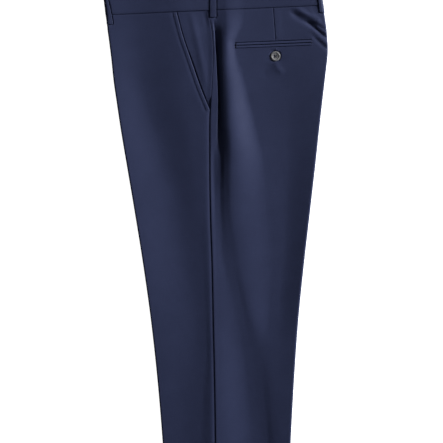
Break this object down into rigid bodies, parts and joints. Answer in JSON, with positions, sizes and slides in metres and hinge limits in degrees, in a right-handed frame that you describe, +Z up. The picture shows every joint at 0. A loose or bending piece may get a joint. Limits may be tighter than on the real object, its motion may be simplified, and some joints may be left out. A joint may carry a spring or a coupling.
{
  "type": "linen trousers",
  "caption": "Navy dress trousers folded lengthwise on their creases, with belt loops, a slanted front pocket and a buttoned back welt pocket.",
  "frame": {"origin": "centre of the folded garment's outline, on the surface it rests on", "axes": "+Y up the garment to the waistband, +X from the front folds to the seat, +Z up from the surface"},
  "size_m": [0.3819, 1.1005, 0.0214],
  "materials": {
    "cloth": "fine plain weave with a soft sheen",
    "button": "marbled grey resin, satin"
  },
  "bodies": {
    "root": {"left_front": "cloth", "pocket_facing": "cloth", "left_back": "cloth", "waistband": "cloth", "belt_loop_front": "cloth", "belt_loop_side": "cloth", "belt_loop_back": "cloth", "welt_upper": "cloth", "welt_lower": "cloth", "pocket_button": "button", "under_layers": "cloth"}
  },
  "joints": []
}
